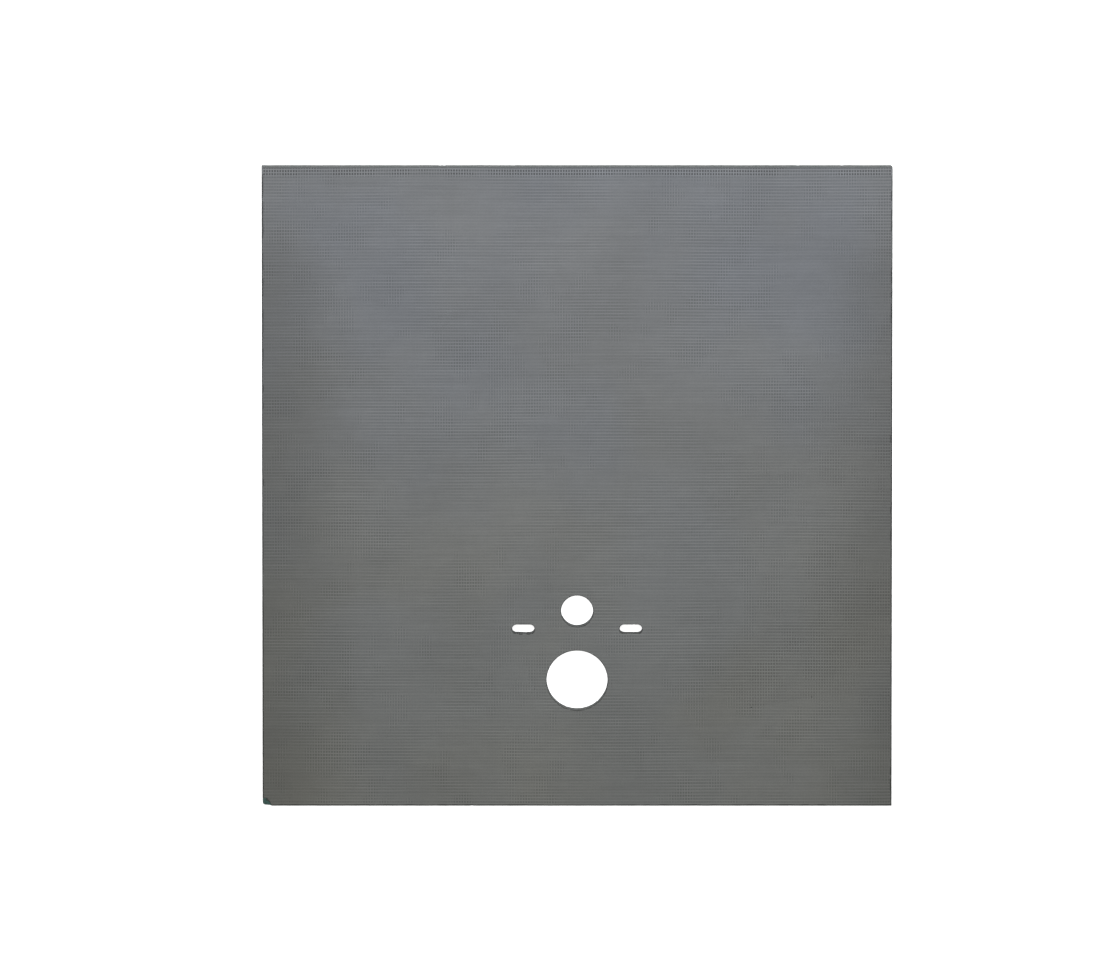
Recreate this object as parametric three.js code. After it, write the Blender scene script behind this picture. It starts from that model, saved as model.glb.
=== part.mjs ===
// Toilet frame cladding board: one sheet that closes off the front of a wall-hung pan's frame and takes the tiles.
// Units are millimetres. The sheet lies on its back with its tile face up: X runs across it, Y from its bottom edge
// to its top edge, and Z through its thickness. The origin is the middle of the back face.
import * as THREE from "three";

// The sheet
const boardWidth = 1200;
const boardHeight = 1245;
const boardThickness = 20;
const wornCornerRadius = 5; // the top right and the bottom left corner are knocked round, the other two are sharp

// What comes through the sheet from the frame behind it, and the room each is given all round
const wastePipeDiameter = 110;
const flushPipeDiameter = 55;
const studDiameter = 12;
const openingClearance = 3;

// Where they come through: heights are above the waste pipe, whose own height is above the sheet's bottom edge
const wasteHeight = 245;
const flushAboveWaste = 135;
const studsAboveWaste = 100;
const narrowStudSpacing = 180; // pans hang on two studs, set at one or the other of these spacings
const wideStudSpacing = 230;

// How far a straight chord may stray from the arc it stands for
const chordTolerance = 0.05;

const cementGrey = new THREE.MeshStandardMaterial({ color: 0x727372, roughness: 0.9, metalness: 0 });

// Points along an arc from one angle to another, both ends included.
function arcPoints(centreX, centreY, radius, startAngle, endAngle) {
  const widestStep = 2 * Math.acos(1 - chordTolerance / radius);
  const steps = Math.ceil(Math.abs(endAngle - startAngle) / widestStep);
  return Array.from({ length: steps + 1 }, (_, i) => {
    const angle = startAngle + ((endAngle - startAngle) * i) / steps;
    return new THREE.Vector2(centreX + radius * Math.cos(angle), centreY + radius * Math.sin(angle));
  });
}

// The sheet's outline, anticlockwise from its sharp bottom right corner. Y is 0 at the bottom edge.
function sheetOutline() {
  const right = boardWidth / 2;
  const round = wornCornerRadius;
  return new THREE.Shape([
    new THREE.Vector2(right, 0),
    ...arcPoints(right - round, boardHeight - round, round, 0, Math.PI / 2),
    new THREE.Vector2(-right, boardHeight),
    ...arcPoints(-right + round, round, round, Math.PI, 1.5 * Math.PI),
  ]);
}

// A round hole for a pipe that stands on the centre line.
function pipeHole(height, pipeDiameter) {
  const radius = pipeDiameter / 2 + openingClearance;
  return new THREE.Path(arcPoints(0, height, radius, 0, 2 * Math.PI).slice(1));
}

// A slot that lets a stud stand anywhere between the narrow and the wide spacing, on one side of the centre line.
function studSlot(side, height) {
  const endRadius = studDiameter / 2 + openingClearance;
  const nearX = (side * narrowStudSpacing) / 2;
  const farX = (side * wideStudSpacing) / 2;
  const leftX = Math.min(nearX, farX);
  const rightX = Math.max(nearX, farX);
  return new THREE.Path([
    ...arcPoints(rightX, height, endRadius, -Math.PI / 2, Math.PI / 2),
    ...arcPoints(leftX, height, endRadius, Math.PI / 2, 1.5 * Math.PI),
  ]);
}

// The whole sheet, drawn flat and given its thickness.
function claddingBoard() {
  const face = sheetOutline();
  face.holes = [
    pipeHole(wasteHeight, wastePipeDiameter),
    pipeHole(wasteHeight + flushAboveWaste, flushPipeDiameter),
    ...[-1, 1].map((side) => studSlot(side, wasteHeight + studsAboveWaste)),
  ];
  const sheet = new THREE.ExtrudeGeometry(face, { depth: boardThickness, bevelEnabled: false });
  const board = new THREE.Mesh(sheet, cementGrey);
  board.name = "cladding_board";
  board.position.y = -boardHeight / 2;
  return board;
}

const part = new THREE.Group();
part.add(claddingBoard());

export default part;
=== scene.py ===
import math
from collections import namedtuple
from functools import partial

import bpy
import numpy as np
from mathutils import Matrix, Vector
from mathutils.geometry import delaunay_2d_cdt


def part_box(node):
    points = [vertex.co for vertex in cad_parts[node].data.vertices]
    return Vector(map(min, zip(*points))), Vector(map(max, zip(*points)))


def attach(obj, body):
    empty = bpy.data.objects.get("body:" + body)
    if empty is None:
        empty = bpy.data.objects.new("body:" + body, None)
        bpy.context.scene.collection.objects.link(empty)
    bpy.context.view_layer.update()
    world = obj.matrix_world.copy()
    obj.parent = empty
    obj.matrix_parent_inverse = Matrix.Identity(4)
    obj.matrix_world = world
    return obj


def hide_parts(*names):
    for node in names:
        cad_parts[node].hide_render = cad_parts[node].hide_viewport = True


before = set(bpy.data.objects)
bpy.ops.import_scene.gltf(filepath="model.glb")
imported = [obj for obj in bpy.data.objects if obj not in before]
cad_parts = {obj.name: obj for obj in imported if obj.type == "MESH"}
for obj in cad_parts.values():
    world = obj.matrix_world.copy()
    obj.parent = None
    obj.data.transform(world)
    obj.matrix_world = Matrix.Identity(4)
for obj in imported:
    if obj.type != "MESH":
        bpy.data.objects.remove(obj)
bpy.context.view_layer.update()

# The looks of a toilet frame cladding board: a sheet of hard foam between two cement coats, each coat laid
# over a glass fibre mesh whose threads show through it. All lengths are in metres, in the frame of the CAD
# model: X runs across the sheet, Y from its bottom edge to its top edge, and Z out of its tile face.
LOW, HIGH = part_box("cladding_board")
MM = 0.001

# What comes through the sheet, and where, as in the CAD model
OPENING_ROOM = 3 * MM
WASTE_RADIUS = 110 * MM / 2 + OPENING_ROOM
FLUSH_RADIUS = 55 * MM / 2 + OPENING_ROOM
STUD_SLOT_RADIUS = 12 * MM / 2 + OPENING_ROOM
STUD_NEAR_X = 180 * MM / 2
STUD_FAR_X = 230 * MM / 2
WASTE_Y = LOW.y + 245 * MM
FLUSH_Y = WASTE_Y + 135 * MM
STUD_Y = WASTE_Y + 100 * MM

# The sheet's corners, anticlockwise from the bottom right one
SHARP_CORNER = 0.7 * MM
WORN_CORNER = 5 * MM
CORNER_RADII = (SHARP_CORNER, WORN_CORNER, SHARP_CORNER, WORN_CORNER)
SMALLEST_ROUND = 0.3 * MM

# The layers. The threads' backs stand THREAD_RISE proud of the coats' own faces, and so reach the sheet's
# full thickness. The foam's wall starts CORE_START in from each of these faces, set back by CORE_SETBACK.
THREAD_RISE = 0.3 * MM
THREAD_SUNK = 0.12 * MM
COAT = 0.8 * MM
CORE_START = 1.15 * COAT
CORE_SETBACK = 0.4 * MM
BACK_FACE_Z = LOW.z + THREAD_RISE
TILE_FACE_Z = HIGH.z - THREAD_RISE

# Where the sheet is cut, each coat dips over a narrow band and ends in a small round, a little undercut.
# BAND_WAVER is how far the band's inner border strays, as a share of the band's width.
BAND_DIP = 0.06 * MM
ARRIS = 0.35 * MM
COAT_UNDERCUT = 0.1 * MM
BAND_WAVER = 0.25

# How uneven the cuts are: the coats' waver and chips, and the foam's streaks and grain. None of it comes
# within CALM_NEAR of the sheet's corners, and all of it is there from CALM_FAR on.
CUT_WAVER = 0.08 * MM
DEEPEST_BACK_CHIP = 1.6 * MM
DEEPEST_TILE_CHIP = 0.8 * MM
FOAM_STREAK = 0.1 * MM
FOAM_GRAIN = 0.07 * MM
CALM_NEAR = 3 * MM
CALM_FAR = 9 * MM

# The two kinds of cut: how wide the band is, how many chips each face's coat has, how many points go to one
# bump, and what the core shows
Cut = namedtuple("Cut", "band back_chips tile_chips spread core")
SHEET_CUT = Cut(band=2.5 * MM, back_chips=14, tile_chips=9, spread=1, core="edge_core")
HOLE_CUT = Cut(band=1.2 * MM, back_chips=5, tile_chips=2, spread=2, core="hole_core_painted_shade")

# The corner of the tile face's coat that is broken off, and how far its break reaches along the edges. It
# bares fresh foam as far as that, or BREAK_STEEPNESS times less far down, and crushes the foam right under
# it by CRUSHED_SHARE of its own depth.
BROKEN_DEPTH = 12 * MM
BROKEN_REACH = 16 * MM
BREAK_STEEPNESS = 1.5
BREAK_RAGGEDNESS = 0.12
CRUSHED_SHARE = 0.5

# The glass fibre mesh: how far apart its threads lie, how wide they show and how far they wander. The warp
# threads are WARP_SHARE as high as the weft threads.
WEFT_PITCH = 6.12 * MM
WARP_PITCH = 5.08 * MM
WEFT_WIDTH = 2.8 * MM
WARP_WIDTH = 1.9 * MM
WARP_SHARE = 0.6
WANDER = 0.9 * MM
THREAD_STEP = 40 * MM
THREAD_END_GAP = 0.2 * MM
SHORTEST_THREAD = 3 * MM

# A thread's section: places across it as shares of its width, and heights as shares of its full height
RIDGE_PLACES = np.array([-0.5, -0.3, 0.0, 0.3, 0.5])
RIDGE_HEIGHTS = np.array([0.0, 0.68, 1.0, 0.68, 0.0])

# Pinholes in the tile face's coat
PINHOLES = ((332 * MM, -430 * MM), (448 * MM, -410 * MM), (-80 * MM, -394 * MM))
PINHOLE_RADIUS = 1.3 * MM
PINHOLE_UNEVENNESS = 0.2
PINHOLE_DEPTH = 0.6 * MM
PINHOLE_SIDES = 11

# How closely the cut edges are drawn, and the angles in degrees over which a turn is a crease
EDGE_STEP = 4 * MM
RIM_STEP = 2.2 * MM
CORNER_STEP = 0.8 * MM
CORE_LEVELS = 8
SHEET_CREASE = 32
THREAD_CREASE = 70

# What the sheet's faces show, in the order of its materials
SHEET_STUFFS = ("coat", "cut_edge", "edge_core", "hole_core_painted_shade")

# Where the looks change. Painted shade darkens the sides from SIDE_SHADE inside the edges to SHADE_PAST_EDGE
# outside them, about a line SHADE_ASIDE right of the middle. Two stretches are measured down from the top
# edge: over TOP_LIGHT the painted shade at the sides fades in, and over TOP_BAND the band fades out where
# the mesh shows most.
SIDE_SHADE = 200 * MM
SHADE_PAST_EDGE = 30 * MM
SHADE_ASIDE = 12 * MM
TOP_LIGHT = (60 * MM, 260 * MM)
TOP_BAND = (14 * MM, 22 * MM)

# Tints that the cement's lightness is multiplied by: painted light, cool at the top and warm at the bottom,
# the cement's own warmer and cooler patches, and painted shade at the side edges. Then colours of the foam,
# the hole walls' darker as painted shade
BOTTOM_PAINTED_LIGHT_TINT = (0.987, 1.0, 0.94, 1.0)
TOP_PAINTED_LIGHT_TINT = (0.966, 1.0, 1.06, 1.0)
WARM_PATCH = (1.01, 1.0, 0.975, 1.0)
COOL_PATCH = (0.99, 1.0, 1.025, 1.0)
SIDE_PAINTED_SHADE_TINT = (1.01, 1.0, 0.97, 1.0)
FRESH_FOAM = (0.038, 0.088, 0.075, 1.0)
EDGE_FOAM = ((0.056, 0.067, 0.063, 1.0), (0.078, 0.083, 0.08, 1.0))
HOLE_FOAM_PAINTED_SHADE = ((0.036, 0.042, 0.039, 1.0), (0.049, 0.052, 0.049, 1.0))

# A Mix node's sockets for two colours and for the colour that it makes
MIX_A, MIX_B, MIX_RESULT = 6, 7, 2

rng = np.random.RandomState(7)


def line_points(start, end, count):
    """Evenly spaced points from start up to but not including end, and their normals on the way's right."""
    start, end = np.array(start, float), np.array(end, float)
    along = end - start
    share = np.arange(count)[:, None] / count
    normal = np.array([along[1], -along[0]]) / np.linalg.norm(along)
    return start + share * along, np.tile(normal, (count, 1))


def arc_points(centre, radius, first, last, count):
    """Points on an arc up to but not including its last angle, and their normals on the way's right."""
    angles = first + (last - first) * np.arange(count) / count
    outward = np.stack([np.cos(angles), np.sin(angles)], axis=1)
    side = 1 if last > first else -1
    return np.array(centre, float) + radius * outward, side * outward


def joined(*stretches):
    """Stretches of (points, normals) joined into one loop."""
    return np.concatenate([s[0] for s in stretches]), np.concatenate([s[1] for s in stretches])


def sheet_loop(inset):
    """The sheet's outline drawn in by inset, anticlockwise, so that its normals point outwards."""
    half_x, half_y = HIGH.x - inset, HIGH.y - inset
    corners = np.array([(half_x, -half_y), (half_x, half_y), (-half_x, half_y), (-half_x, -half_y)])
    inward = np.array([(-1, 1), (-1, -1), (1, -1), (1, 1)])
    radii = [max(radius - inset, SMALLEST_ROUND) for radius in CORNER_RADII]
    centres = [corner + radius * way for corner, radius, way in zip(corners, radii, inward)]
    stretches = []
    for i in range(4):
        first = (i - 1) * math.pi / 2
        last = first + math.pi / 2
        corner_count = 2 + round(CORNER_RADII[i] / CORNER_STEP)
        stretches.append(arc_points(centres[i], radii[i], first, last, corner_count))
        after = (i + 1) % 4
        normal = np.array([math.cos(last), math.sin(last)])
        start = centres[i] + radii[i] * normal
        end = centres[after] + radii[after] * normal
        side = 2 * (HIGH.y if i % 2 == 0 else HIGH.x)
        stretches.append(line_points(start, end, round(side / EDGE_STEP)))
    return joined(*stretches)


def pipe_loop(y, radius, inset):
    """A round hole on the centre line, widened by inset, clockwise, so that its normals point into it."""
    return arc_points((0, y), radius + inset, math.pi, -math.pi, round(2 * math.pi * radius / RIM_STEP))


def slot_loop(side, inset):
    """One stud slot, widened by inset, clockwise."""
    left, right = sorted((side * STUD_NEAR_X, side * STUD_FAR_X))
    radius = STUD_SLOT_RADIUS + inset
    end_count = round(math.pi * STUD_SLOT_RADIUS / RIM_STEP)
    side_count = round((STUD_FAR_X - STUD_NEAR_X) / RIM_STEP)
    return joined(
        arc_points((left, STUD_Y), radius, 1.5 * math.pi, 0.5 * math.pi, end_count),
        line_points((left, STUD_Y + radius), (right, STUD_Y + radius), side_count),
        arc_points((right, STUD_Y), radius, 0.5 * math.pi, -0.5 * math.pi, end_count),
        line_points((right, STUD_Y - radius), (left, STUD_Y - radius), side_count),
    )


# The sheet's outline and its four openings, and how each is cut
CUT_LOOPS = (
    (sheet_loop, SHEET_CUT),
    (partial(pipe_loop, WASTE_Y, WASTE_RADIUS), HOLE_CUT),
    (partial(pipe_loop, FLUSH_Y, FLUSH_RADIUS), HOLE_CUT),
    (partial(slot_loop, -1), HOLE_CUT),
    (partial(slot_loop, 1), HOLE_CUT),
)


def rough(count, spread):
    """A closed run of smooth random values, mostly between -1 and 1, with spread values to one bump."""
    values = rng.uniform(-1, 1, count)
    reach = np.arange(-2 * spread, 2 * spread + 1)
    weights = np.exp(-((reach / spread) ** 2))
    smooth = sum(w * np.roll(values, int(r)) for w, r in zip(weights, reach))
    return np.clip(smooth / math.sqrt((weights**2).sum()), -1.6, 1.6)


def chips(points, normals, calm, many, deepest):
    """Small breaks along an edge: how far each point is knocked back, as vectors into the sheet. calm is 0
    at the sheet's corners, where there are none."""
    depth = np.zeros(len(points))
    for at in rng.randint(0, len(points), many):
        size = deepest * rng.uniform(0.25, 1) ** 2
        width = size * rng.uniform(1.2, 2.5)
        away = np.linalg.norm(points - points[at], axis=1)
        depth = np.maximum(depth, size * np.clip(1 - (away / width) ** 2, 0, 1))
    return -normals * (calm * depth)[:, None]


def broken_corner(points):
    """How far the tile face's coat is broken away at the bottom left corner, as vectors into the sheet."""
    away = np.linalg.norm(points - np.array([LOW.x, LOW.y]), axis=1)
    depth = BROKEN_DEPTH * np.clip(1 - (away / BROKEN_REACH) ** 2, 0, 1)
    ragged = 1 + BREAK_RAGGEDNESS * rough(len(points), 1)
    return (depth * ragged)[:, None] * np.array([1, 1]) / math.sqrt(2)


def edge_rows(loop_at, cut):
    """One loop's rows of points from the back face to the tile face, each with what shows between it and
    the next. loop_at gives the loop at any inset."""
    points, normals = loop_at(0)
    count = len(points)
    to_corner = np.linalg.norm(np.array([HIGH.x, HIGH.y]) - np.abs(points), axis=1)
    calm = np.clip((to_corner - CALM_NEAR) / (CALM_FAR - CALM_NEAR), 0, 1)
    back_cut = chips(points, normals, calm, cut.back_chips, DEEPEST_BACK_CHIP)
    tile_cut = chips(points, normals, calm, cut.tile_chips, DEEPEST_TILE_CHIP)
    core_cut = np.zeros((count, 2))
    if cut is SHEET_CUT:
        core_cut = broken_corner(points)
        tile_cut = tile_cut + core_cut
    back_cut = back_cut - normals * (CUT_WAVER * calm * (1 + rough(count, cut.spread)))[:, None]
    tile_cut = tile_cut - normals * (CUT_WAVER * calm * (1 + rough(count, cut.spread)))[:, None]
    ragged = BAND_WAVER * cut.band * calm * rough(count, 2)

    def row(z, knocked, inset, strays=0.0):
        place = loop_at(inset)[0] + knocked - normals * np.reshape(strays, (-1, 1))
        return np.column_stack([place, np.full(count, z)])

    rows = [
        ("cut_edge", row(BACK_FACE_Z, back_cut, cut.band, ragged)),
        ("cut_edge", row(BACK_FACE_Z + BAND_DIP, back_cut, ARRIS)),
        ("cut_edge", row(BACK_FACE_Z + BAND_DIP + ARRIS, back_cut, 0)),
        (cut.core, row(BACK_FACE_Z + COAT, back_cut, COAT_UNDERCUT)),
    ]
    streak = rough(count, cut.spread)
    for i in range(CORE_LEVELS + 1):
        share = i / CORE_LEVELS
        z = BACK_FACE_Z + CORE_START + share * (TILE_FACE_Z - BACK_FACE_Z - 2 * CORE_START)
        crushed = core_cut * CRUSHED_SHARE * share**6
        strays = calm * (FOAM_STREAK * streak + FOAM_GRAIN * rough(count, 1))
        rows.append((cut.core, row(z, crushed, CORE_SETBACK, strays)))
    rows += [
        ("cut_edge", row(TILE_FACE_Z - COAT, tile_cut, COAT_UNDERCUT)),
        ("cut_edge", row(TILE_FACE_Z - BAND_DIP - ARRIS, tile_cut, 0)),
        ("cut_edge", row(TILE_FACE_Z - BAND_DIP, tile_cut, ARRIS)),
        ("cut_edge", row(TILE_FACE_Z, tile_cut, cut.band, ragged)),
    ]
    return rows


def stitched(rows, first):
    """The faces between one loop's rows, whose points' numbers start at first, and what each face shows."""
    count = len(rows[0][1])
    around = np.arange(count)
    after = (around + 1) % count
    faces, stuffs = [], []
    for i, (stuff, _) in enumerate(rows[:-1]):
        low = first + i * count
        high = low + count
        faces += np.column_stack([low + around, low + after, high + after, high + around]).tolist()
        stuffs += [stuff] * count
    return faces, stuffs


def pinhole_ring(x, y):
    """A pinhole's uneven rim, clockwise."""
    angles = -2 * math.pi * np.arange(PINHOLE_SIDES) / PINHOLE_SIDES
    radius = PINHOLE_RADIUS * (1 + PINHOLE_UNEVENNESS * rough(PINHOLE_SIDES, 1))
    return np.column_stack([x + radius * np.cos(angles), y + radius * np.sin(angles)])


def inside(places, loops):
    """Whether each place is in the sheet, which is within an odd number of the loops."""
    within = np.zeros(len(places), bool)
    for loop in loops:
        x1, y1 = loop[:, 0], loop[:, 1]
        x2, y2 = np.roll(x1, -1), np.roll(y1, -1)
        for i, (x, y) in enumerate(places):
            spans = (y1 > y) != (y2 > y)
            crossing = x1[spans] + (y - y1[spans]) * (x2[spans] - x1[spans]) / (y2[spans] - y1[spans])
            within[i] ^= bool((crossing > x).sum() % 2)
    return within


def face_triangles(loops, rings, spots):
    """Triangles, anticlockwise, that fill the space between the loops, and their middles. They keep the
    rings' edges and use the single spots too. Their numbers count along the loops, then the rings, then the
    spots."""
    flat = np.concatenate([*loops, *rings, *([spots] if len(spots) else [])])
    edges, first = [], 0
    for loop in [*loops, *rings]:
        edges += [(first + i, first + (i + 1) % len(loop)) for i in range(len(loop))]
        first += len(loop)
    vertices, _, faces, *_ = delaunay_2d_cdt([Vector(p / MM) for p in flat], edges, [], 0, 1e-6)
    if len(vertices) != len(flat):
        raise RuntimeError("the outlines cross themselves or each other")
    faces = np.array(faces)
    middles = flat[faces].mean(axis=1)
    kept = inside(middles, loops)
    return faces[kept], middles[kept]


def smooth_mesh(name, vertices, faces, stuffs, crease):
    """A mesh that is shaded smooth but for its creases, with each face's material by its number."""
    mesh = bpy.data.meshes.new(name)
    mesh.from_pydata(vertices.tolist(), [], faces)
    mesh.polygons.foreach_set("material_index", stuffs)
    mesh.shade_smooth()
    mesh.set_sharp_from_angle(angle=math.radians(crease))
    return mesh


def sheet_mesh():
    """The sheet's coats and core as one closed mesh, and the outlines of its two faces."""
    vertices, faces, stuffs = [], [], []
    back_numbers, tile_numbers, total = [], [], 0
    for loop_at, cut in CUT_LOOPS:
        rows = edge_rows(loop_at, cut)
        vertices += [points for _, points in rows]
        side_faces, side_stuffs = stitched(rows, total)
        faces += side_faces
        stuffs += side_stuffs
        around = np.arange(len(rows[0][1]))
        back_numbers.append(total + around)
        tile_numbers.append(total + (len(rows) - 1) * len(around) + around)
        total += len(rows) * len(around)
    rings, ring_numbers = [pinhole_ring(x, y) for x, y in PINHOLES], []
    for ring in rings:
        vertices.append(np.column_stack([ring, np.full(len(ring), TILE_FACE_Z)]))
        ring_numbers.append(total + np.arange(len(ring)))
        total += len(ring)
    spots = np.array(PINHOLES)
    vertices.append(np.column_stack([spots, np.full(len(spots), TILE_FACE_Z - PINHOLE_DEPTH)]))
    spot_numbers = total + np.arange(len(spots))
    vertices = np.concatenate(vertices)

    back_loops = [vertices[n][:, :2] for n in back_numbers]
    triangles, _ = face_triangles(back_loops, [], [])
    faces += np.concatenate(back_numbers)[triangles][:, ::-1].tolist()
    stuffs += ["coat"] * len(triangles)

    tile_loops = [vertices[n][:, :2] for n in tile_numbers]
    triangles, middles = face_triangles(tile_loops, rings, spots)
    faces += np.concatenate([*tile_numbers, *ring_numbers, spot_numbers])[triangles].tolist()
    to_pinhole = np.linalg.norm(middles[:, None] - spots[None], axis=2).min(axis=1)
    stuffs += np.where(to_pinhole < PINHOLE_RADIUS, "hole_core_painted_shade", "coat").tolist()

    numbers = [SHEET_STUFFS.index(stuff) for stuff in stuffs]
    mesh = smooth_mesh("cladding_board_sheet", vertices, faces, numbers, SHEET_CREASE)
    return mesh, {"back": back_loops, "tile": tile_loops + rings}


def wander_y(x, y):
    """How far a weft thread strays up the sheet at a place."""
    return WANDER * (0.6 * np.sin(5.1 * x + 3.7 * y + 0.4) + 0.4 * np.sin(13.7 * x - 4.3 * y + 1.9))


def wander_x(x, y):
    """How far a warp thread strays across the sheet at a place."""
    return 0.6 * WANDER * (0.7 * np.sin(4.3 * y - 2.9 * x + 1.2) + 0.3 * np.sin(11.9 * y + 3.1 * x))


# The mesh's two sets of threads: the weft runs across the sheet and the warp up it. The axis is the one
# across the threads, which is Y for the weft and X for the warp, and they wander along it.
Thread = namedtuple("Thread", "axis pitch width share wander")
WEFT = Thread(axis=1, pitch=WEFT_PITCH, width=WEFT_WIDTH, share=1.0, wander=wander_y)
WARP = Thread(axis=0, pitch=WARP_PITCH, width=WARP_WIDTH, share=WARP_SHARE, wander=wander_x)


def thread_rise(x, y):
    """How proud the threads stand at a place, from 0 to 1: the coat buries them deeper in some patches."""
    patch = np.sin(23 * x + 5 * np.sin(9 * y)) * np.sin(19 * y + 4 * np.sin(11 * x + 1))
    broad = np.sin(4.1 * x + 0.7) * np.sin(3.3 * y - 0.9)
    return np.clip(0.8 + 0.14 * patch + 0.1 * broad, 0.5, 1)


def runs(loops, axis, level):
    """The stretches within the loops of the straight line where the axis's coordinate is level."""
    ends = []
    for loop in loops:
        a1, b1 = loop[:, axis], loop[:, 1 - axis]
        a2, b2 = np.roll(a1, -1), np.roll(b1, -1)
        spans = (a1 > level) != (a2 > level)
        shares = (level - a1[spans]) / (a2[spans] - a1[spans])
        ends += (b1[spans] + shares * (b2[spans] - b1[spans])).tolist()
    ends.sort()
    return zip(ends[0::2], ends[1::2])


def ridge(thread, level, start, end, face_z, out):
    """One thread's ridge as rings of points, from start to end along the sheet."""
    steps = max(1, round((end - start) / THREAD_STEP))
    place = np.zeros((steps + 1, 2))
    place[:, 1 - thread.axis] = np.linspace(start, end, steps + 1)
    place[:, thread.axis] = level
    place[:, thread.axis] += thread.wander(place[:, 0], place[:, 1])
    rise = THREAD_RISE * thread.share * thread_rise(place[:, 0], place[:, 1])
    rings = np.zeros((steps + 1, len(RIDGE_PLACES), 3))
    rings[:, :, :2] = place[:, None]
    rings[:, :, thread.axis] += RIDGE_PLACES * thread.width
    rings[:, :, 2] = face_z + out * (RIDGE_HEIGHTS * (rise[:, None] + THREAD_SUNK) - THREAD_SUNK)
    return rings


def ridges(thread, outlines, face_z, out):
    """The ridges of one set of threads, each cut off where it reaches an outline of the face."""
    straight = []
    for loop in outlines:
        moved = loop.copy()
        moved[:, thread.axis] -= thread.wander(loop[:, 0], loop[:, 1])
        straight.append(moved)
    low, high = LOW[thread.axis], HIGH[thread.axis]
    count = int((high - low) / thread.pitch)
    lowest = (low + high - (count - 1) * thread.pitch) / 2
    made = []
    for level in lowest + thread.pitch * np.arange(count):
        for start, end in runs(straight, thread.axis, level):
            start, end = start + THREAD_END_GAP, end - THREAD_END_GAP
            if end - start >= SHORTEST_THREAD:
                made.append(ridge(thread, level, start, end, face_z, out))
    return made


def closed_tube(rings, first, flip):
    """The faces of a closed tube through rings of points whose numbers start at first."""
    steps, sides = rings.shape[0] - 1, rings.shape[1]
    step, side = np.meshgrid(np.arange(steps), np.arange(sides), indexing="ij")
    a = first + step * sides + side
    b = first + step * sides + (side + 1) % sides
    quads = np.stack([a, b, b + sides, a + sides], axis=-1).reshape(-1, 4).tolist()
    start = [first + i for i in reversed(range(sides))]
    end = [first + steps * sides + i for i in range(sides)]
    faces = [*quads, start, end]
    return [f[::-1] for f in faces] if flip else faces


def thread_mesh(name, outlines, face_z, out):
    """The threads that show through one coat, as closed ridges sunk into it. out is 1 on the tile face and
    -1 on the back face."""
    vertices, faces, stuffs, total = [], [], [], 0
    for stuff, thread in enumerate((WEFT, WARP)):
        for rings in ridges(thread, outlines, face_z, out):
            added = closed_tube(rings, total, flip=(out > 0) == (thread is WEFT))
            vertices.append(rings.reshape(-1, 3))
            faces += added
            stuffs += [stuff] * len(added)
            total += rings.shape[0] * rings.shape[1]
    return smooth_mesh(name, np.concatenate(vertices), faces, stuffs, THREAD_CREASE)


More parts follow.
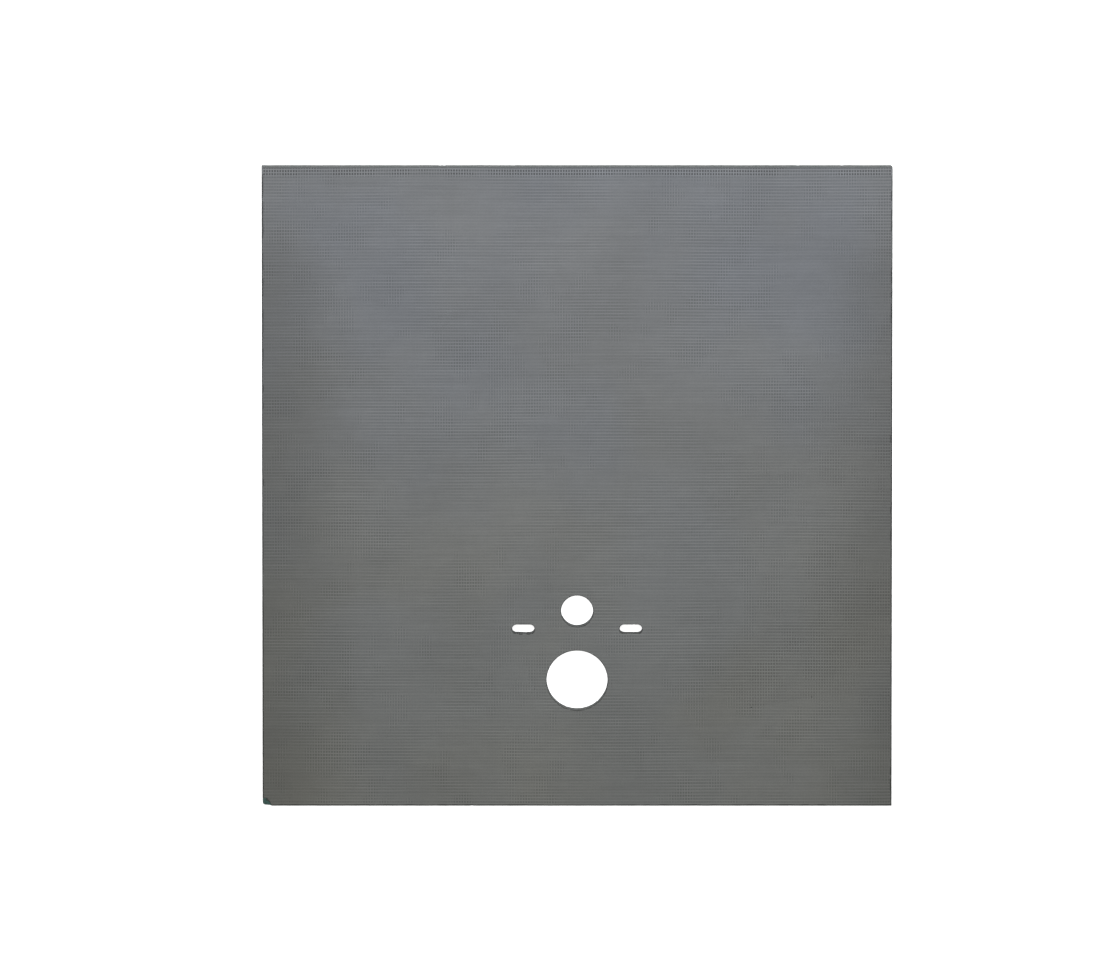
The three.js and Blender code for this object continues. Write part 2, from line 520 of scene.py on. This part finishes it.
class Shader:
    """A material's nodes, with short ways to add and join them."""

    def __init__(self, name):
        self.material = bpy.data.materials.new(name)
        self.material.use_nodes = True
        self.tree = self.material.node_tree
        self.tree.nodes.clear()
        self.place = self.add("ShaderNodeTexCoord").outputs["Object"]

    def add(self, kind, inputs=None, **settings):
        """A new node. Each input is either another node's socket, which is linked to it, or a value."""
        node = self.tree.nodes.new(kind)
        for name, value in settings.items():
            setattr(node, name, value)
        for name, value in (inputs or {}).items():
            if isinstance(value, bpy.types.NodeSocket):
                self.tree.links.new(value, node.inputs[name])
            else:
                node.inputs[name].default_value = value
        return node

    def noise(self, scale, detail, roughness, stretch=(1, 1, 1), shift=(0, 0, 0)):
        place = self.add("ShaderNodeMapping", {"Vector": self.place, "Scale": stretch, "Location": shift})
        inputs = {"Vector": place.outputs[0], "Scale": scale, "Detail": detail, "Roughness": roughness}
        return self.add("ShaderNodeTexNoise", inputs).outputs[0]

    def cells(self, scale):
        """How far each place is from the middle of its cell, as a share of the cells' size."""
        inputs = {"Vector": self.place, "Scale": scale, "Randomness": 1.0}
        return self.add("ShaderNodeTexVoronoi", inputs).outputs["Distance"]

    def between(self, value, low, high, to_low=0.0, to_high=1.0):
        """A smooth step from to_low to to_high, as value goes from low to high."""
        inputs = {"Value": value, "From Min": low, "From Max": high, "To Min": to_low, "To Max": to_high}
        return self.add("ShaderNodeMapRange", inputs, interpolation_type="SMOOTHSTEP").outputs[0]

    def graded(self, value, to_low, to_high):
        """A straight line through to_low where value is 0 and to_high where it is 1."""
        inputs = {"Value": value, "To Min": to_low, "To Max": to_high}
        return self.add("ShaderNodeMapRange", inputs, clamp=False).outputs[0]

    def combined(self, operation, result, *values):
        """The values taken into the result one by one."""
        for value in values:
            result = self.add("ShaderNodeMath", {0: result, 1: value}, operation=operation).outputs[0]
        return result

    def product(self, *values):
        return self.combined("MULTIPLY", *values)

    def total(self, *values):
        return self.combined("ADD", *values)

    def larger(self, *values):
        return self.combined("MAXIMUM", *values)

    def size_of(self, value):
        return self.add("ShaderNodeMath", {0: value}, operation="ABSOLUTE").outputs[0]

    def mix(self, factor, a, b, blend="MIX"):
        inputs = {"Factor": factor, MIX_A: a, MIX_B: b}
        return self.add("ShaderNodeMix", inputs, data_type="RGBA", blend_type=blend).outputs[MIX_RESULT]

    def tinted(self, colour, tint):
        return self.mix(1.0, colour, tint, "MULTIPLY")

    def shaded(self, colour, shade):
        level = self.add("ShaderNodeCombineColor", {"Red": shade, "Green": shade, "Blue": shade})
        return self.tinted(colour, level.outputs[0])

    def bump(self, height, distance, normal=None):
        inputs = {"Height": height, "Distance": distance, "Strength": 1.0}
        if normal is not None:
            inputs["Normal"] = normal
        return self.add("ShaderNodeBump", inputs).outputs[0]

    def finish(self, colour, roughness, normal):
        """The finished material, with little gloss."""
        inputs = {"Base Color": colour, "Roughness": roughness, "Normal": normal, "Specular IOR Level": 0.25}
        surface = self.add("ShaderNodeBsdfPrincipled", inputs)
        self.add("ShaderNodeOutputMaterial", {"Surface": surface.outputs[0]})
        return self.material


def cement_tone_with_painted_light(shader, y, painted_shade_at_sides):
    """Cement's tint: painted light that is cool at the top and warm at the bottom, painted shade that warms
    it at the side edges, and the cement's own small warmer and cooler patches.
    """
    tone = shader.mix(shader.between(y, LOW.y, HIGH.y), BOTTOM_PAINTED_LIGHT_TINT, TOP_PAINTED_LIGHT_TINT)
    patch = shader.between(shader.noise(2.6, 3, 0.5, shift=(0.4, 0.2, 0)), 0.35, 0.65)
    tone = shader.tinted(tone, shader.mix(patch, WARM_PATCH, COOL_PATCH))
    return shader.mix(painted_shade_at_sides, tone, shader.tinted(tone, SIDE_PAINTED_SHADE_TINT))


def cement_level(shader, y, hidden, shown, grid, top):
    """Cement's lightness: hidden where the coat buries the mesh, and shown where it doesn't, most of all
    along the top edge. It changes by grid in small patches, by up to 2.8 times that in patches along the top
    edge, and by top all along that edge."""
    buried = shader.between(shader.noise(5.5, 4, 0.55, stretch=(1, 1.5, 1)), 0.4, 0.6, 0.25, 1.05)
    top_band = shader.between(y, HIGH.y - TOP_BAND[1], HIGH.y - TOP_BAND[0])
    level = shader.graded(shader.larger(buried, shader.product(top_band, 1.4)), hidden, shown)
    if grid:
        spots = shader.noise(27, 1, 0.4, stretch=(1, 0.7, 1), shift=(7, 2, 0))
        regions = shader.noise(1.9, 2, 0.5, shift=(2.3, 0.7, 0))
        patches = shader.between(shader.total(spots, regions), 1.05, 1.14)
        top_spots = shader.noise(27, 1, 0.4, shift=(1, 9, 0))
        top_patches = shader.product(top_band, shader.between(top_spots, 0.41, 0.49, 0.8, 2.8))
        level = shader.total(level, shader.graded(shader.larger(patches, top_patches), 0.0, grid))
    if top:
        level = shader.total(level, shader.graded(top_band, 0.0, top))
    return level


def cement_material(name, hidden, shown, grid=0.0, top=0.0):
    """Cement coat: cloudy, drawn out across the sheet in fine rows, sandy and pitted, with painted shade
    that darkens it towards the side edges. cement_level says what the numbers do."""
    shader = Shader(name)
    split = shader.add("ShaderNodeSeparateXYZ", {"Vector": shader.place})
    x, y = split.outputs["X"], split.outputs["Y"]
    # Painted shade at the side edges, which fades out towards the top edge
    from_middle = shader.size_of(shader.total(x, -SHADE_ASIDE))
    painted_shade_at_sides = shader.between(from_middle, HIGH.x - SIDE_SHADE, HIGH.x + SHADE_PAST_EDGE)
    below_light = shader.between(y, HIGH.y - TOP_LIGHT[0], HIGH.y - TOP_LIGHT[1])
    painted_shade_at_sides = shader.product(painted_shade_at_sides, below_light)
    painted_side_darkening = shader.graded(painted_shade_at_sides, 1.0, 0.78)
    cloud = shader.between(shader.noise(5, 3, 0.5, shift=(3, 1, 0)), 0.3, 0.7, 0.96, 1.04)
    mottle = shader.between(shader.noise(40, 4, 0.6), 0.3, 0.7, 0.97, 1.03)
    rows = shader.between(shader.noise(1, 2, 0.5, stretch=(6, 165, 4)), 0.3, 0.7, 0.965, 1.035)
    sand = shader.noise(1300, 3, 0.65)
    grains = shader.between(sand, 0.32, 0.68, 0.9, 1.1)
    pores = shader.between(shader.cells(260), 0.05, 0.16, 0.75, 1.0)
    level = cement_level(shader, y, hidden, shown, grid, top)
    shade = shader.product(level, painted_side_darkening, cloud, mottle, rows, grains, pores)
    normal = shader.bump(shader.noise(120, 4, 0.6), 0.12 * MM)
    normal = shader.bump(sand, 0.05 * MM, normal)
    roughness = shader.between(mottle, 0.97, 1.03, 0.8, 0.92)
    return shader.finish(shader.shaded(cement_tone_with_painted_light(shader, y, painted_shade_at_sides), shade), roughness, normal)


def broken_foam(shader):
    """1 where the corner is broken and the foam is fresh, and 0 elsewhere, with a ragged border."""
    from_corner = (-LOW.x, -LOW.y, -BREAK_STEEPNESS * HIGH.z)
    flattened = {"Vector": shader.place, "Location": from_corner, "Scale": (1, 1, BREAK_STEEPNESS)}
    away = shader.add("ShaderNodeMapping", flattened).outputs[0]
    away = shader.add("ShaderNodeVectorMath", {0: away}, operation="LENGTH").outputs["Value"]
    ragged = shader.product(away, shader.graded(shader.noise(170, 3, 0.6), 0.6, 1.4))
    return shader.between(ragged, 1.05 * BROKEN_REACH, 0.9 * BROKEN_REACH)


def foam_material(name, clean, dusty):
    """The cut face of the foam core, in two tones: fine closed cells, saw streaks through the thickness and
    dust. It is clean and rough where the corner is broken."""
    shader = Shader(name)
    cell = shader.between(shader.cells(2600), 0.1, 0.7)
    streaks = shader.noise(260, 3, 0.6, stretch=(1, 1, 0.1))
    dust = shader.between(shader.noise(45, 3, 0.6), 0.35, 0.65)
    fresh = broken_foam(shader)
    tone = shader.mix(fresh, shader.mix(dust, clean, dusty), FRESH_FOAM)
    tone = shader.shaded(tone, shader.between(cell, 0.0, 1.0, 1.0, 0.9))
    streak = shader.between(streaks, 0.3, 0.7, 0.86, 1.1)
    normal = shader.bump(shader.product(streaks, shader.graded(fresh, 1.0, 0.0)), 0.25 * MM)
    normal = shader.bump(shader.product(shader.noise(420, 4, 0.65), fresh), 1.2 * MM, normal)
    normal = shader.bump(cell, 0.04 * MM, normal)
    return shader.finish(shader.shaded(tone, streak), 0.7, normal)


def floor_material():
    """A white floor that is lit a little from within, so that it stays white in the holes too."""
    material = bpy.data.materials.new("white_floor")
    material.use_nodes = True
    surface = material.node_tree.nodes["Principled BSDF"]
    surface.inputs["Base Color"].default_value = (0.8, 0.8, 0.8, 1)
    surface.inputs["Roughness"].default_value = 0.9
    surface.inputs["Emission Color"].default_value = (1, 1, 1, 1)
    surface.inputs["Emission Strength"].default_value = 0.85
    return material


def new_object(name, data):
    """A new object in the scene, made of the data."""
    thing = bpy.data.objects.new(name, data)
    bpy.context.scene.collection.objects.link(thing)
    return thing


def piece(mesh, *materials):
    """One of the sheet's own meshes in the scene, under the mesh's name."""
    for material in materials:
        mesh.materials.append(material)
    thing = new_object(mesh.name, mesh)
    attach(thing, "root")
    return thing


def area_light(name, place, aim, size, power, colour):
    """A rectangular light panel at a place, turned towards its aim."""
    lamp = bpy.data.lights.new(name, "AREA")
    lamp.shape = "RECTANGLE"
    lamp.size, lamp.size_y = size
    lamp.energy = power
    lamp.color = colour
    thing = new_object(name, lamp)
    thing.location = place
    thing.rotation_euler = (Vector(aim) - Vector(place)).to_track_quat("-Z", "Y").to_euler()


# The sheet and the threads on its two faces
# Where the mesh shows, the cement over the weft threads is lighter and the coat between the threads darker:
# painted light and painted shade added to the threads' real relief
coat = cement_material("cement_coat", hidden=0.133, shown=0.114, grid=-0.015)
weft_coat = cement_material("cement_over_weft", hidden=0.136, shown=0.154)
warp_coat = cement_material("cement_over_warp", hidden=0.135, shown=0.131, grid=0.027)
cut_edge = cement_material("cut_cement_edge", hidden=0.047, shown=0.047, top=0.05)
edge_foam = foam_material("sheet_edge_foam", *EDGE_FOAM)
# The foam of the hole walls and pinholes is darker than the sheet edge's: painted shade in the holes
hole_foam_painted_shade = foam_material("hole_wall_foam_painted_shade", *HOLE_FOAM_PAINTED_SHADE)
sheet_data, outlines = sheet_mesh()
sheet = piece(sheet_data, coat, cut_edge, edge_foam, hole_foam_painted_shade)
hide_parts("cladding_board")
piece(thread_mesh("tile_face_threads", outlines["tile"], TILE_FACE_Z, 1), weft_coat, warp_coat)
piece(thread_mesh("back_face_threads", outlines["back"], BACK_FACE_Z, -1), weft_coat, warp_coat)

# The floor
FLOOR_HALF = 20
FLOOR_GAP = 0.05 * MM
floor_data = bpy.data.meshes.new("floor")
floor_data.from_pydata(
    [(x * FLOOR_HALF, y * FLOOR_HALF, LOW.z - FLOOR_GAP) for x, y in ((-1, -1), (1, -1), (1, 1), (-1, 1))],
    [],
    [(0, 1, 2, 3)],
)
floor_data.materials.append(floor_material())
floor = new_object("floor", floor_data)

# Soft studio light: an even white surround, and a large panel over the sheet's top edge
world = bpy.data.worlds.new("studio")
bpy.context.scene.world = world
world.use_nodes = True
surround = world.node_tree.nodes["Background"]
surround.inputs["Color"].default_value = (1.0, 0.99, 0.975, 1)
surround.inputs["Strength"].default_value = 0.58
area_light(
    "key_panel",
    place=(0.08, 1.22, 2.0),
    aim=(0.08, 0.1, 0),
    size=(2.5, 0.8),
    power=56,
    colour=(0.94, 0.97, 1.0),
)

# The camera looks down on the sheet from a long way off, a little from beyond its top edge
PHOTO_WIDTH_PX = 1120
PHOTO_HEIGHT_PX = 960
SHEET_CENTRE_PX = (577.1, 485.9)
METRES_PER_PX = 1.9045 * MM
TILT = math.radians(12.3)
CAMERA_DISTANCE = 75.0
SENSOR_WIDTH = 36.0

view_width = PHOTO_WIDTH_PX * METRES_PER_PX
back = Vector((0, math.sin(TILT), math.cos(TILT)))
right = Vector((1, 0, 0))
up = back.cross(right)
aside = (SHEET_CENTRE_PX[0] - PHOTO_WIDTH_PX / 2) * METRES_PER_PX
above = (SHEET_CENTRE_PX[1] - PHOTO_HEIGHT_PX / 2) * METRES_PER_PX
aim = (LOW + HIGH) / 2 - right * aside + up * above
camera_data = bpy.data.cameras.new("camera")
camera_data.sensor_width = SENSOR_WIDTH
camera_data.lens = SENSOR_WIDTH * CAMERA_DISTANCE / view_width
camera_data.clip_start = 1.0
camera_data.clip_end = 200.0
camera = new_object("camera", camera_data)
turn = Matrix((right, up, back)).transposed().to_4x4()
camera.matrix_world = Matrix.Translation(aim + back * CAMERA_DISTANCE) @ turn
bpy.context.scene.camera = camera
bpy.context.scene.view_settings.view_transform = "Standard"
